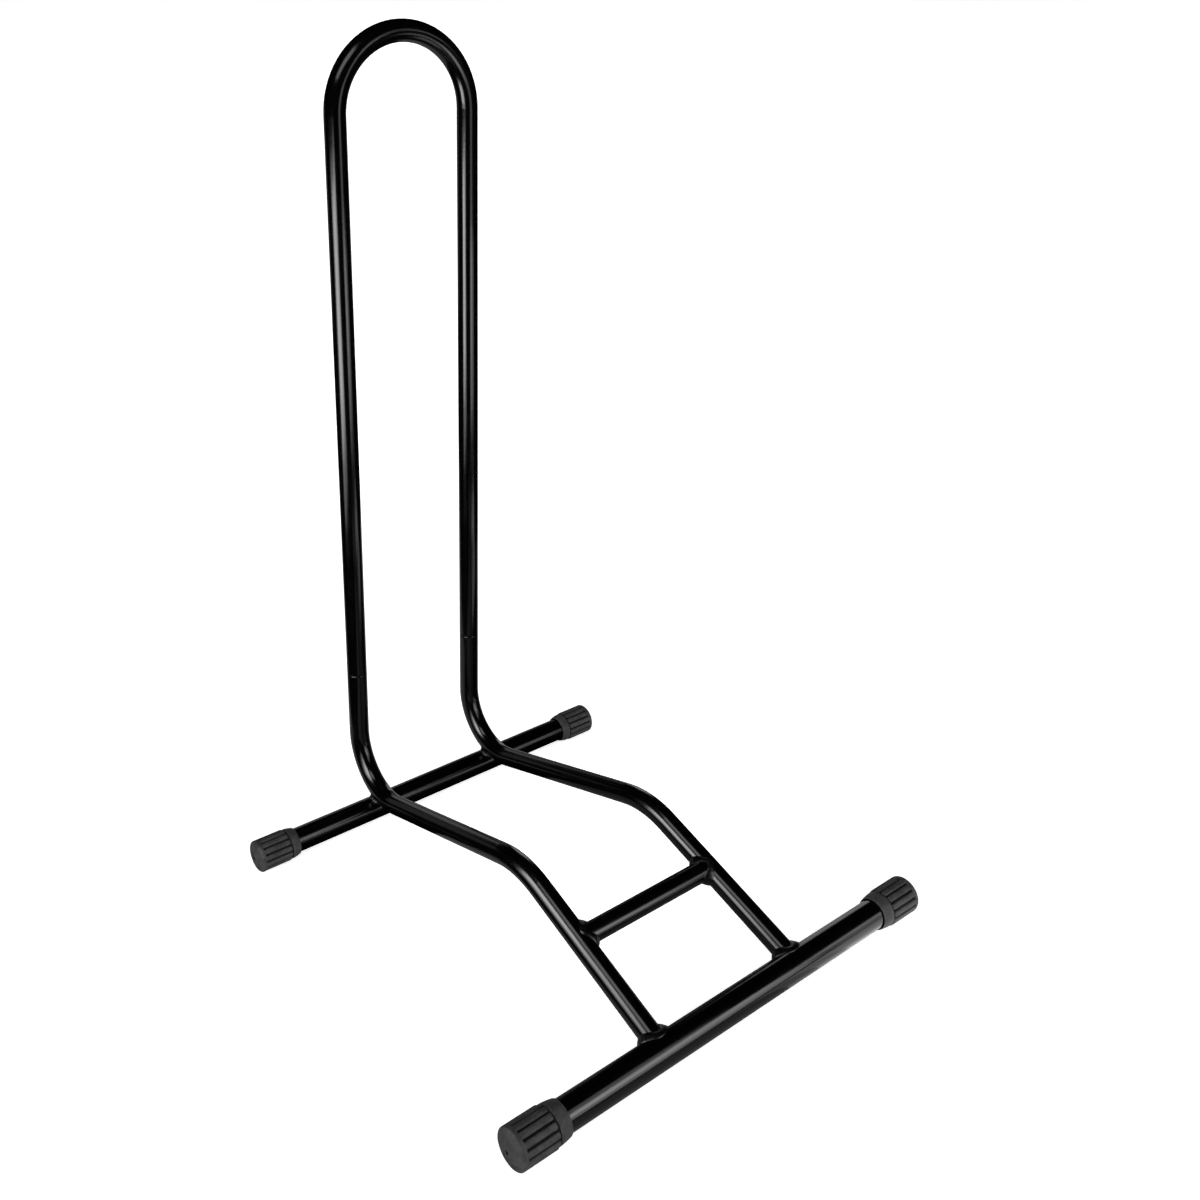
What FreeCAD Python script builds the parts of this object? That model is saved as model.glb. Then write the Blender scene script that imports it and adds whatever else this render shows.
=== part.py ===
"""Floor bike rack: a tubular floor stand that holds one wheel upright.

Two bent side rails stand on a rear and a front crossbar and carry a cross
rung; an inverted-U hoop plugs onto the upright ends of the rails.  Ribbed
rubber caps close the crossbars and rest on the floor.

Millimetres.  +X is the rack's right, +Y its rear, +Z up.  The floor is z = 0
and the origin is the middle of the outer box on the floor.
"""
import FreeCAD, Part
import math
import os
from FreeCAD import Placement, Rotation, Vector

doc = FreeCAD.newDocument("floor_bike_rack")

# ------------------------------------------------------------------ sizes
SIZES = [
    ("frame_tube_diameter", 18.0),      # hoop and side rails
    ("frame_tube_wall", 1.2),
    ("rung_diameter", 17.5),
    ("rung_wall", 1.2),
    ("rear_bar_diameter", 22.0),
    ("rear_bar_wall", 1.5),
    ("rear_bar_length", 372.0),
    ("front_bar_diameter", 25.0),
    ("front_bar_wall", 1.5),
    ("front_bar_length", 411.0),
    ("rear_bar_y", 192.17),             # crossbar axes
    ("rear_bar_z", 14.5),
    ("front_bar_y", -213.33),
    ("front_bar_z", 16.0),
    ("leg_half_gap", 63.0),             # hoop leg axis from the middle
    ("lean_angle", 3.1),                # uprights lean forward, degrees
    ("splay_angle", 1.14),              # rails run apart to the front, degrees
    ("corner_y", 223.97),               # rear virtual corner of the rails
    ("corner_z", 15.80),
    ("knee_y", -260.6),                 # knee corner, in the rail's own plane
    ("knee_z", 80.4),
    ("toe_y", -436.7),                  # rail end on the front bar's axis
    ("toe_z", 24.35),
    ("rear_bend_radius", 50.5),
    ("knee_bend_radius", 85.0),
    ("seam_height", 130.5),             # joint, along the upright
    ("hoop_tangent_height", 632.7),     # start of the hoop's round top
    ("swage_length", 5.0),
    ("plug_length", 40.0),
    ("plug_clearance", 0.05),
    ("plug_wall", 1.2),
    ("plug_lead", 1.5),
    ("seam_round", 1.0),
    ("rung_y", -115.83),
    ("rear_cap_inner", 151.3),          # cap stations along the bar
    ("rear_cap_shoulder", 157.5),
    ("rear_cap_step", 160.4),
    ("rear_cap_flute_end", 185.8),
    ("rear_cap_apex", 191.8),
    ("rear_cap_radius", 14.5),
    ("rear_cap_mouth_radius", 12.4),
    ("rear_cap_collar_radius", 14.0),
    ("rear_cap_floor_radius", 12.7),
    ("rear_cap_dome_radius", 36.0),
    ("front_cap_inner", 166.0),
    ("front_cap_shoulder", 175.0),
    ("front_cap_step", 177.6),
    ("front_cap_flute_end", 204.9),
    ("front_cap_apex", 211.8),
    ("front_cap_radius", 16.0),
    ("front_cap_mouth_radius", 13.9),
    ("front_cap_collar_radius", 15.5),
    ("front_cap_floor_radius", 14.0),
    ("front_cap_dome_radius", 38.0),
    ("cap_rim_radius", 2.2),
    ("cap_lead_depth", 2.2),            # flared mouth of the cap's socket
    ("cap_lead_gap", 0.8),
    ("cap_flutes", 14),
    ("flute_width", 2.7),
    ("flute_floor", 1.0),
    ("gate_mark_radius", 1.6),
    ("gate_mark_depth", 1.6),
    ("bead_radius", 3.2),
]
# how far each cap's flutes are turned round the bar, degrees
TURN = {"front_left": 9.1, "front_right": -8.7, "rear_left": 10.6, "rear_right": 1.4}
sheet = doc.addObject("Spreadsheet::Sheet", "Sizes")
S = {}
for row, (alias, value) in enumerate(SIZES, start=1):
    sheet.set("A%d" % row, alias)
    sheet.set("B%d" % row, repr(value))
    sheet.setAlias("B%d" % row, alias)
    S[alias] = float(value)
doc.recompute()


# ---------------------------------------------------------------- helpers
def plane(body, role):
    return [f for f in body.Origin.OriginFeatures if f.Role == role][0]


def axis(body, role):
    return [f for f in body.Origin.OriginFeatures if f.Role == role][0]


def new_body(name):
    return doc.addObject("PartDesign::Body", name)


def new_sketch(body, name, role):
    sk = body.newObject("Sketcher::SketchObject", name)
    sk.AttachmentSupport = [(plane(body, role), "")]
    sk.MapMode = "FlatFace"
    return sk


def name_and_bind(sk, index, name, expr):
    sk.renameConstraint(index, name)
    sk.setExpression("Constraints." + name, expr)


def line(sk, a, b):
    return sk.addGeometry(Part.LineSegment(Vector(a[0], a[1], 0), Vector(b[0], b[1], 0)), False)


def arc(sk, c, r, a0, a1):
    circle = Part.Circle(Vector(c[0], c[1], 0), Vector(0, 0, 1), r)
    return sk.addGeometry(Part.ArcOfCircle(circle, a0, a1), False)


import Sketcher
CON = Sketcher.Constraint


def ring_sketch(body, name, cx, cy, outer_expr, inner_expr, outer, inner, role, offset_expr=None,
                cx_expr=None):
    """Two circles round one centre: the wall of a tube."""
    sk = new_sketch(body, name, role)
    if offset_expr:
        sk.setExpression("AttachmentOffset.Base.z", offset_expr)
    a = sk.addGeometry(Part.Circle(Vector(cx, cy, 0), Vector(0, 0, 1), outer), False)
    b = sk.addGeometry(Part.Circle(Vector(cx, cy, 0), Vector(0, 0, 1), inner), False)
    sk.addConstraint(CON("Coincident", b, 3, a, 3))
    if cx_expr:
        k = sk.addConstraint(CON("DistanceX", -1, 1, a, 3, cx))
        name_and_bind(sk, k, "centre_x", cx_expr)
        sk.addConstraint(CON("PointOnObject", a, 3, -1))
    else:
        sk.addConstraint(CON("Coincident", a, 3, -1, 1))
    k = sk.addConstraint(CON("Radius", a, outer))
    name_and_bind(sk, k, "outer", outer_expr)
    k = sk.addConstraint(CON("Radius", b, inner))
    name_and_bind(sk, k, "inner", inner_expr)
    return sk


# --------------------------------------------------------------- the hoop
R_T = S["frame_tube_diameter"] / 2
W_T = S["frame_tube_wall"]
HW = S["leg_half_gap"]
LS = S["seam_height"]
LT = S["hoop_tangent_height"]

hoop = new_body("UpperHoop")
path = new_sketch(hoop, "HoopPath", "XZ_Plane")
l1 = line(path, (HW, LS), (HW, LT))
a1 = arc(path, (0, LT), HW, 0.0, math.pi)
l2 = line(path, (-HW, LT), (-HW, LS))
path.addConstraint(CON("Vertical", l1))
path.addConstraint(CON("Vertical", l2))
path.addConstraint(CON("Tangent", l1, 2, a1, 1))
path.addConstraint(CON("Tangent", a1, 2, l2, 1))
path.addConstraint(CON("PointOnObject", a1, 3, -2))
k = path.addConstraint(CON("DistanceX", -1, 1, l1, 1, HW))
name_and_bind(path, k, "half_gap", "Sizes.leg_half_gap")
k = path.addConstraint(CON("DistanceY", -1, 1, l1, 1, LS))
name_and_bind(path, k, "seam", "Sizes.seam_height")
k = path.addConstraint(CON("DistanceY", -1, 1, l2, 2, LS))
name_and_bind(path, k, "seam_two", "Sizes.seam_height")
k = path.addConstraint(CON("DistanceY", -1, 1, a1, 3, LT))
name_and_bind(path, k, "round_start", "Sizes.hoop_tangent_height")
prof = ring_sketch(hoop, "HoopWall", HW, 0, "Sizes.frame_tube_diameter/2",
                   "Sizes.frame_tube_diameter/2-Sizes.frame_tube_wall", R_T, R_T - W_T,
                   "XY_Plane", "Sizes.seam_height", "Sizes.leg_half_gap")
doc.recompute()
pipe = hoop.newObject("PartDesign::AdditivePipe", "HoopTube")
pipe.Profile = prof
pipe.Spine = (path, ["Edge1", "Edge2", "Edge3"])
doc.recompute()


def ring_edges(feature, radius, z, tol=0.02):
    """Names of the full circular edges of one radius lying at one local height."""
    names = []
    for n, e in enumerate(feature.Shape.Edges, start=1):
        c = e.Curve
        if hasattr(c, "Radius") and abs(c.Radius - radius) < tol and abs(c.Center.z - z) < tol:
            names.append("Edge%d" % n)
    return names


fil = hoop.newObject("PartDesign::Fillet", "HoopEndRound")
fil.Base = (pipe, ring_edges(pipe, R_T, LS))
fil.Radius = S["seam_round"]
fil.setExpression("Radius", "Sizes.seam_round")
hoop.Tip = fil
doc.recompute()
hoop.Placement = Placement(Vector(0, S["corner_y"], S["corner_z"]), Rotation(Vector(1, 0, 0), S["lean_angle"]))
doc.recompute()

# -------------------------------------------------------------- side rail
rail = new_body("RightSideRail")
rp = new_sketch(rail, "RailPath", "YZ_Plane")
V1 = Vector(0, 0, 0)
V2 = Vector(S["knee_y"], S["knee_z"], 0)
V3 = Vector(S["toe_y"], S["toe_z"], 0)
TOP = Vector(0, LS - S["swage_length"], 0)
RB, RK = S["rear_bend_radius"], S["knee_bend_radius"]


def corner(a, v, b, r):
    """Tangent points and centre of a round of radius r at the corner a-v-b."""
    u = (a - v).normalize()
    w = (b - v).normalize()
    half = math.acos(max(-1, min(1, u.dot(w)))) / 2
    t = r / math.tan(half)
    c = v + (u + w).normalize() * (r / math.sin(half))
    return v + u * t, v + w * t, c


pa, pb, c1 = corner(TOP, V1, V2, RB)
pc, pd, c2 = corner(V1, V2, V3, RK)


def arc_through(sk, c, r, p, q):
    """Short arc from p to q; says whether p is the arc's start."""
    ap = math.atan2(p.y - c.y, p.x - c.x)
    aq = math.atan2(q.y - c.y, q.x - c.x)
    d = (aq - ap) % (2 * math.pi)
    if d < math.pi:
        return arc(sk, (c.x, c.y), r, ap, ap + d), 1, 2
    return arc(sk, (c.x, c.y), r, aq, aq + (2 * math.pi - d)), 2, 1


g_leg = line(rp, (TOP.x, TOP.y), (pa.x, pa.y))
g_b1, s1, e1 = arc_through(rp, c1, RB, pa, pb)
g_run = line(rp, (pb.x, pb.y), (pc.x, pc.y))
g_b2, s2, e2 = arc_through(rp, c2, RK, pc, pd)
g_toe = line(rp, (pd.x, pd.y), (V3.x, V3.y))
g_v2 = rp.addGeometry(Part.Point(V2), True)
rp.addConstraint(CON("PointOnObject", g_leg, 1, -2))
rp.addConstraint(CON("Vertical", g_leg))
rp.addConstraint(CON("Tangent", g_leg, 2, g_b1, s1))
rp.addConstraint(CON("Tangent", g_b1, e1, g_run, 1))
rp.addConstraint(CON("Tangent", g_run, 2, g_b2, s2))
rp.addConstraint(CON("Tangent", g_b2, e2, g_toe, 1))
rp.addConstraint(CON("PointOnObject", -1, 1, g_run))
rp.addConstraint(CON("PointOnObject", g_v2, 1, g_run))
rp.addConstraint(CON("PointOnObject", g_v2, 1, g_toe))
for con, nm, ex in (
        (CON("DistanceY", -1, 1, g_leg, 1, TOP.y), "top", "Sizes.seam_height-Sizes.swage_length"),
        (CON("Radius", g_b1, RB), "rear_bend", "Sizes.rear_bend_radius"),
        (CON("Radius", g_b2, RK), "knee_bend", "Sizes.knee_bend_radius"),
        (CON("DistanceX", g_v2, 1, -1, 1, -V2.x), "knee_back", "-Sizes.knee_y"),
        (CON("DistanceY", -1, 1, g_v2, 1, V2.y), "knee_up", "Sizes.knee_z"),
        (CON("DistanceX", g_toe, 2, -1, 1, -V3.x), "toe_back", "-Sizes.toe_y"),
        (CON("DistanceY", -1, 1, g_toe, 2, V3.y), "toe_up", "Sizes.toe_z")):
    k = rp.addConstraint(con)
    name_and_bind(rp, k, nm, ex)
rprof = ring_sketch(rail, "RailWall", 0, 0, "Sizes.frame_tube_diameter/2",
                    "Sizes.frame_tube_diameter/2-Sizes.frame_tube_wall", R_T, R_T - W_T,
                    "XY_Plane", "Sizes.seam_height-Sizes.swage_length")
doc.recompute()
rpipe = rail.newObject("PartDesign::AdditivePipe", "RailTube")
rpipe.Profile = rprof
rpipe.Spine = (rp, ["Edge1", "Edge2", "Edge3", "Edge4", "Edge5"])
doc.recompute()

# Swaged plug end: the wall steps in at a rounded shoulder and goes on as a
# thinner sleeve that the hoop's leg slides over.
plug_r = R_T - W_T - S["plug_clearance"]
plug_i = plug_r - S["plug_wall"]
sw = new_sketch(rail, "PlugSection", "YZ_Plane")
zb, zt = LS - S["swage_length"], LS + S["plug_length"]
rr = S["seam_round"]
pts = [(R_T - W_T, zb), (plug_i, LS - 1.6), (plug_i, zt), (plug_r - 0.4, zt), (plug_r, zt - S["plug_lead"]),
       (plug_r, LS), (R_T - rr, LS)]
gs = [line(sw, pts[i], pts[i + 1]) for i in range(len(pts) - 1)]
g_arc = arc(sw, (R_T - rr, LS - rr), rr, 0.0, math.pi / 2)
g_out = line(sw, (R_T, LS - rr), (R_T, zb))
g_bot = line(sw, (R_T, zb), pts[0])
chain = gs + [None]
for i in range(len(gs) - 1):
    sw.addConstraint(CON("Coincident", gs[i], 2, gs[i + 1], 1))
sw.addConstraint(CON("Tangent", gs[-1], 2, g_arc, 2))
sw.addConstraint(CON("Tangent", g_arc, 1, g_out, 1))
sw.addConstraint(CON("Coincident", g_out, 2, g_bot, 1))
sw.addConstraint(CON("Coincident", g_bot, 2, gs[0], 1))
sw.addConstraint(CON("Horizontal", g_bot))
sw.addConstraint(CON("Vertical", gs[1]))
sw.addConstraint(CON("Horizontal", gs[2]))
sw.addConstraint(CON("Vertical", gs[4]))
sw.addConstraint(CON("Horizontal", gs[5]))
sw.addConstraint(CON("Vertical", g_out))
for con, nm, ex in (
        (CON("DistanceX", -1, 1, gs[0], 1, pts[0][0]), "bore", "Sizes.frame_tube_diameter/2-Sizes.frame_tube_wall"),
        (CON("DistanceY", -1, 1, gs[0], 1, zb), "base", "Sizes.seam_height-Sizes.swage_length"),
        (CON("DistanceX", -1, 1, gs[1], 1, plug_i), "plug_bore",
         "Sizes.frame_tube_diameter/2-Sizes.frame_tube_wall-Sizes.plug_clearance-Sizes.plug_wall"),
        (CON("DistanceY", -1, 1, gs[1], 1, LS - 1.6), "neck", "Sizes.seam_height-1.6"),
        (CON("DistanceY", -1, 1, gs[2], 1, zt), "tip", "Sizes.seam_height+Sizes.plug_length"),
        (CON("DistanceX", -1, 1, gs[4], 1, plug_r), "plug_outer",
         "Sizes.frame_tube_diameter/2-Sizes.frame_tube_wall-Sizes.plug_clearance"),
        (CON("DistanceX", -1, 1, gs[3], 1, plug_r - 0.4), "tip_outer",
         "Sizes.frame_tube_diameter/2-Sizes.frame_tube_wall-Sizes.plug_clearance-0.4"),
        (CON("DistanceY", -1, 1, gs[4], 1, zt - S["plug_lead"]), "lead",
         "Sizes.seam_height+Sizes.plug_length-Sizes.plug_lead"),
        (CON("DistanceY", -1, 1, gs[5], 1, LS), "shoulder", "Sizes.seam_height"),
        (CON("DistanceX", -1, 1, g_out, 1, R_T), "outer", "Sizes.frame_tube_diameter/2"),
        (CON("Radius", g_arc, rr), "round", "Sizes.seam_round")):
    k = sw.addConstraint(con)
    name_and_bind(sw, k, nm, ex)
doc.recompute()
rev = rail.newObject("PartDesign::Revolution", "Plug")
rev.Profile = sw
rev.ReferenceAxis = (axis(rail, "Z_Axis"), [""])
rev.Angle = 360.0
rail.Tip = rev
doc.recompute()
RAIL_PLACE = Placement(Vector(HW, S["corner_y"], S["corner_z"]),
                       Rotation(Vector(1, 0, 0), S["lean_angle"]) * Rotation(Vector(0, 0, 1), S["splay_angle"]))
rail.Placement = RAIL_PLACE
doc.recompute()


# ------------------------------------------------------------- crossbars
def tube_body(name, outer_alias, wall_alias, length_alias, centre):
    """Straight tube along X, padded both ways from the middle."""
    body = new_body(name)
    sk = ring_sketch(body, name + "Wall", 0, 0, "Sizes.%s/2" % outer_alias,
                     "Sizes.%s/2-Sizes.%s" % (outer_alias, wall_alias),
                     S[outer_alias] / 2, S[outer_alias] / 2 - S[wall_alias], "YZ_Plane")
    doc.recompute()
    pad = body.newObject("PartDesign::Pad", name + "Tube")
    pad.Profile = sk
    pad.Midplane = True
    pad.Length = S.get(length_alias, 100.0)
    if length_alias in S:
        pad.setExpression("Length", "Sizes." + length_alias)
    body.Tip = pad
    body.Placement = Placement(centre, Rotation())
    doc.recompute()
    return body


REAR = Vector(0, S["rear_bar_y"], S["rear_bar_z"])
FRONT = Vector(0, S["front_bar_y"], S["front_bar_z"])
rear_bar = tube_body("RearCrossbar", "rear_bar_diameter", "rear_bar_wall", "rear_bar_length", REAR)
front_bar = tube_body("FrontCrossbar", "front_bar_diameter", "front_bar_wall", "front_bar_length", FRONT)


def solid_cylinder(name, radius_expr, radius, start, direction, length):
    """Plain cylinder used only as a cutting tool."""
    cyl = doc.addObject("Part::Cylinder", name)
    cyl.Radius = radius
    cyl.setExpression("Radius", radius_expr)
    cyl.Height = length
    cyl.Placement = Placement(start, Rotation(Vector(0, 0, 1), direction))
    return cyl


def cut(name, base, tool):
    c = doc.addObject("Part::Cut", name)
    c.Base = base
    c.Tool = tool
    doc.recompute()
    return c


def mirror(name, source):
    m = doc.addObject("Part::Mirroring", name)
    m.Source = source
    m.Base = Vector(0, 0, 0)
    m.Normal = Vector(1, 0, 0)
    doc.recompute()
    return m


# The rails' lower ends are coped to the front crossbar.
bar_tool = solid_cylinder("FrontBarTool", "Sizes.front_bar_diameter/2", S["front_bar_diameter"] / 2,
                          Vector(-150, FRONT.y, FRONT.z), Vector(1, 0, 0), 300)
right_rail = cut("right_side_rail", rail, bar_tool)
left_rail = mirror("left_side_rail", right_rail)


# ------------------------------------------------------------------- rung
def world(local):
    return RAIL_PLACE.multVec(Vector(0, local.x, local.y))


w2, w3, wd = world(V2), world(V3), world(pd)
toe_dir = (w3 - w2).normalize()
s = (S["rung_y"] - w2.y) / toe_dir.y
on_axis = w2 + toe_dir * s                    # rung axis meets the right rail's axis here
rung_c = Vector(0, on_axis.y, on_axis.z)
rung = tube_body("RungTube", "rung_diameter", "rung_wall", "no_length", rung_c)
rung.Tip.Length = 2 * on_axis.x - 1.0
doc.recompute()


def toe_cylinder(name, side):
    a = Vector(side * (w2.x), w2.y, w2.z)
    d = Vector(side * toe_dir.x, toe_dir.y, toe_dir.z)
    return solid_cylinder(name, "Sizes.frame_tube_diameter/2", R_T, a, d, 186)


tool_r = toe_cylinder("RailToolRight", 1)
tool_l = toe_cylinder("RailToolLeft", -1)
rung_a = cut("RungCopedRight", rung, tool_r)
cross_rung = cut("cross_rung", rung_a, tool_l)


# ------------------------------------------------------------------- caps
def cap(name, p, bar_alias, length_alias):
    """Ribbed cap for the +X end of a crossbar, built round its own X axis."""
    body = new_body(name)
    sk = new_sketch(body, name + "Section", "XZ_Plane")
    inner, step, apex = S[p + "_cap_inner"], S[p + "_cap_step"], S[p + "_cap_apex"]
    R, C, D = S[p + "_cap_radius"], S[p + "_cap_collar_radius"], S[p + "_cap_dome_radius"]
    shoulder, M, F = S[p + "_cap_shoulder"], S[p + "_cap_mouth_radius"], S[p + "_cap_floor_radius"]
    lead, gap = S["cap_lead_depth"], S["cap_lead_gap"]
    f = S["cap_rim_radius"]
    bore = S[bar_alias] / 2
    floor = S[length_alias] / 2
    gr, gd = S["gate_mark_radius"], S["gate_mark_depth"]
    cx = apex - D                                     # dome centre on the axis
    fx = cx + math.sqrt((D - f) ** 2 - (R - f) ** 2)  # rim round centre
    ang = math.atan2(R - f, fx - cx)
    tx, tr = cx + D * math.cos(ang), D * math.sin(ang)
    gx = cx + math.sqrt(D * D - gr * gr)              # dome at the gate mark's edge
    ga = math.atan2(gr, gx - cx)
    g = []
    g.append(line(sk, (floor, 0), (floor, bore)))               # 0 socket bottom
    g.append(line(sk, (floor, bore), (inner + lead, bore)))     # 1 socket wall
    g.append(line(sk, (inner + lead, bore), (inner, bore + gap)))  # 2 flared mouth
    g.append(line(sk, (inner, bore + gap), (inner, M)))         # 3 lip
    g.append(line(sk, (inner, M), (shoulder, C)))               # 4 tapered shoulder
    g.append(line(sk, (shoulder, C), (step, C)))                # 5 collar band
    g.append(line(sk, (step, C), (step + 0.5, R)))              # 6 step up to the ribs
    g.append(line(sk, (step + 0.5, R), (fx, R)))                # 7 ribs
    g.append(arc(sk, (fx, R - f), f, ang, math.pi / 2))         # 8 rim round
    g.append(arc(sk, (cx, 0), D, ga, ang))                      # 9 dome
    g.append(line(sk, (gx, gr), (gx - gd, gr)))                 # 10 gate mark side
    g.append(line(sk, (gx - gd, gr), (gx - gd, 0)))             # 11 gate mark bottom
    g.append(line(sk, (gx - gd, 0), (floor, 0)))                # 12 axis
    for i in range(7):
        sk.addConstraint(CON("Coincident", g[i], 2, g[i + 1], 1))
    sk.addConstraint(CON("Tangent", g[7], 2, g[8], 2))
    sk.addConstraint(CON("Tangent", g[8], 1, g[9], 2))
    sk.addConstraint(CON("Coincident", g[9], 1, g[10], 1))
    sk.addConstraint(CON("Coincident", g[10], 2, g[11], 1))
    sk.addConstraint(CON("Coincident", g[11], 2, g[12], 1))
    sk.addConstraint(CON("Coincident", g[12], 2, g[0], 1))
    for i in (0, 3, 11):
        sk.addConstraint(CON("Vertical", g[i]))
    for i in (1, 5, 7, 10):
        sk.addConstraint(CON("Horizontal", g[i]))
    sk.addConstraint(CON("PointOnObject", g[0], 1, -1))
    sk.addConstraint(CON("PointOnObject", g[11], 2, -1))
    sk.addConstraint(CON("PointOnObject", g[9], 3, -1))
    for con, nm, ex in (
            (CON("DistanceX", -1, 1, g[0], 1, floor), "socket", "Sizes.%s/2" % length_alias),
            (CON("DistanceY", -1, 1, g[1], 1, bore), "bore", "Sizes.%s/2" % bar_alias),
            (CON("DistanceX", -1, 1, g[2], 1, inner + lead), "lead", "Sizes.%s_cap_inner+Sizes.cap_lead_depth" % p),
            (CON("DistanceX", -1, 1, g[3], 1, inner), "inner_end", "Sizes.%s_cap_inner" % p),
            (CON("DistanceY", -1, 1, g[3], 1, bore + gap), "lead_gap", "Sizes.%s/2+Sizes.cap_lead_gap" % bar_alias),
            (CON("DistanceY", -1, 1, g[4], 1, M), "mouth", "Sizes.%s_cap_mouth_radius" % p),
            (CON("DistanceX", -1, 1, g[5], 1, shoulder), "shoulder", "Sizes.%s_cap_shoulder" % p),
            (CON("DistanceY", -1, 1, g[5], 1, C), "collar", "Sizes.%s_cap_collar_radius" % p),
            (CON("DistanceX", -1, 1, g[6], 1, step), "step", "Sizes.%s_cap_step" % p),
            (CON("DistanceX", -1, 1, g[7], 1, step + 0.5), "step_top", "Sizes.%s_cap_step+0.5" % p),
            (CON("DistanceY", -1, 1, g[7], 1, R), "ribs", "Sizes.%s_cap_radius" % p),
            (CON("Radius", g[8], f), "rim", "Sizes.cap_rim_radius"),
            (CON("Radius", g[9], D), "dome", "Sizes.%s_cap_dome_radius" % p),
            (CON("DistanceX", -1, 1, g[9], 3, cx), "dome_centre",
             "Sizes.%s_cap_apex-Sizes.%s_cap_dome_radius" % (p, p)),
            (CON("DistanceY", -1, 1, g[10], 1, gr), "gate_r", "Sizes.gate_mark_radius"),
            (CON("DistanceX", g[10], 2, g[10], 1, gd), "gate_d", "Sizes.gate_mark_depth")):
        k = sk.addConstraint(con)
        name_and_bind(sk, k, nm, ex)
    doc.recompute()
    turn = body.newObject("PartDesign::Revolution", name + "Turned")
    turn.Profile = sk
    turn.ReferenceAxis = (axis(body, "X_Axis"), [""])
    turn.Angle = 360.0
    doc.recompute()
    # one flute at the top, then round the axis
    w, fl = S["flute_width"], S["flute_floor"]
    fs = new_sketch(body, name + "Flute", "YZ_Plane")
    fs.setExpression("AttachmentOffset.Base.z", "Sizes.%s_cap_step+0.2" % p)
    slope = (w - fl) / 2 / (R - F)
    top = R + 1.0
    wt = w + 2 * slope * (top - R)
    q = [(-fl / 2, F), (fl / 2, F), (wt / 2, top), (-wt / 2, top)]
    h = [line(fs, q[i], q[(i + 1) % 4]) for i in range(4)]
    for i in range(4):
        fs.addConstraint(CON("Coincident", h[i], 2, h[(i + 1) % 4], 1))
    fs.addConstraint(CON("Symmetric", h[0], 1, h[0], 2, -2))
    fs.addConstraint(CON("Symmetric", h[2], 1, h[2], 2, -2))
    for con, nm, ex in (
            (CON("DistanceY", -1, 1, h[0], 1, F), "floor_r", "Sizes.%s_cap_floor_radius" % p),
            (CON("DistanceY", -1, 1, h[2], 1, top), "top_r", "Sizes.%s_cap_radius+1" % p),
            (CON("DistanceX", h[0], 1, h[0], 2, fl), "floor_w", "Sizes.flute_floor"),
            (CON("DistanceX", h[2], 2, h[2], 1, wt), "top_w",
             "Sizes.flute_width+(Sizes.flute_width-Sizes.flute_floor)/(Sizes.%s_cap_radius-Sizes.%s_cap_floor_radius)" % (p, p))):
        k = fs.addConstraint(con)
        name_and_bind(fs, k, nm, ex)
    doc.recompute()
    before = body.Tip.Shape.Volume if body.Tip else turn.Shape.Volume
    pk = body.newObject("PartDesign::Pocket", name + "FluteCut")
    pk.Profile = fs
    pk.Length = S[p + "_cap_flute_end"] - step - 0.2
    pk.setExpression("Length", "Sizes.%s_cap_flute_end-Sizes.%s_cap_step-0.2" % (p, p))
    pk.Reversed = True
    doc.recompute()
    pat = body.newObject("PartDesign::PolarPattern", name + "Flutes")
    pat.Originals = [pk]
    pat.Axis = (axis(body, "X_Axis"), [""])
    pat.Angle = 360
    pat.Occurrences = int(S["cap_flutes"])
    pat.setExpression("Occurrences", "Sizes.cap_flutes")
    body.Tip = pat
    doc.recompute()
    print(name, "turned %.1f fluted %.1f" % (before, body.Shape.Volume))
    if not body.Shape.Volume < before - 100:
        raise RuntimeError("flutes not cut in " + name)
    return body


CAPS = {}
for end, where in (("rear", REAR), ("front", FRONT)):
    for hand in ("left", "right"):
        piece = cap("%s%sCap" % (end.title(), hand.title()), end, end + "_bar_diameter", end + "_bar_length")
        piece.Placement = Placement(where, Rotation(Vector(1, 0, 0), TURN[end + "_" + hand]))
        doc.recompute()
        CAPS[end, hand] = mirror(end + "_cap_left", piece) if hand == "left" else piece
rear_cap, rear_cap_left = CAPS["rear", "right"], CAPS["rear", "left"]
front_cap, front_cap_left = CAPS["front", "right"], CAPS["front", "left"]


# ------------------------------------------------------------------ welds
def saddle_points(origin, along, host_point, host_dir, host_r, ring_r, smooth, count=48):
    """Closed curve round a branch tube where it meets a host tube."""
    along = Vector(along).normalize()
    host = Vector(host_dir).normalize()
    e2 = along.cross(host).normalize()
    e1 = e2.cross(along).normalize()
    out = []
    for i in range(count):
        th = 2 * math.pi * i / count
        probe = origin + e1 * (ring_r * math.cos(th)) + e2 * (smooth * ring_r * math.sin(th))
        d = probe - host_point
        d = d - host * d.dot(host)
        u = along - host * along.dot(host)
        a, b, c = u.dot(u), 2 * d.dot(u), d.dot(d) - host_r ** 2
        t = (-b + math.sqrt(max(0.0, b * b - 4 * a * c))) / (2 * a)
        out.append(origin + e1 * (ring_r * math.cos(th)) + e2 * (ring_r * math.sin(th)) + along * t)
    return out


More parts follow.
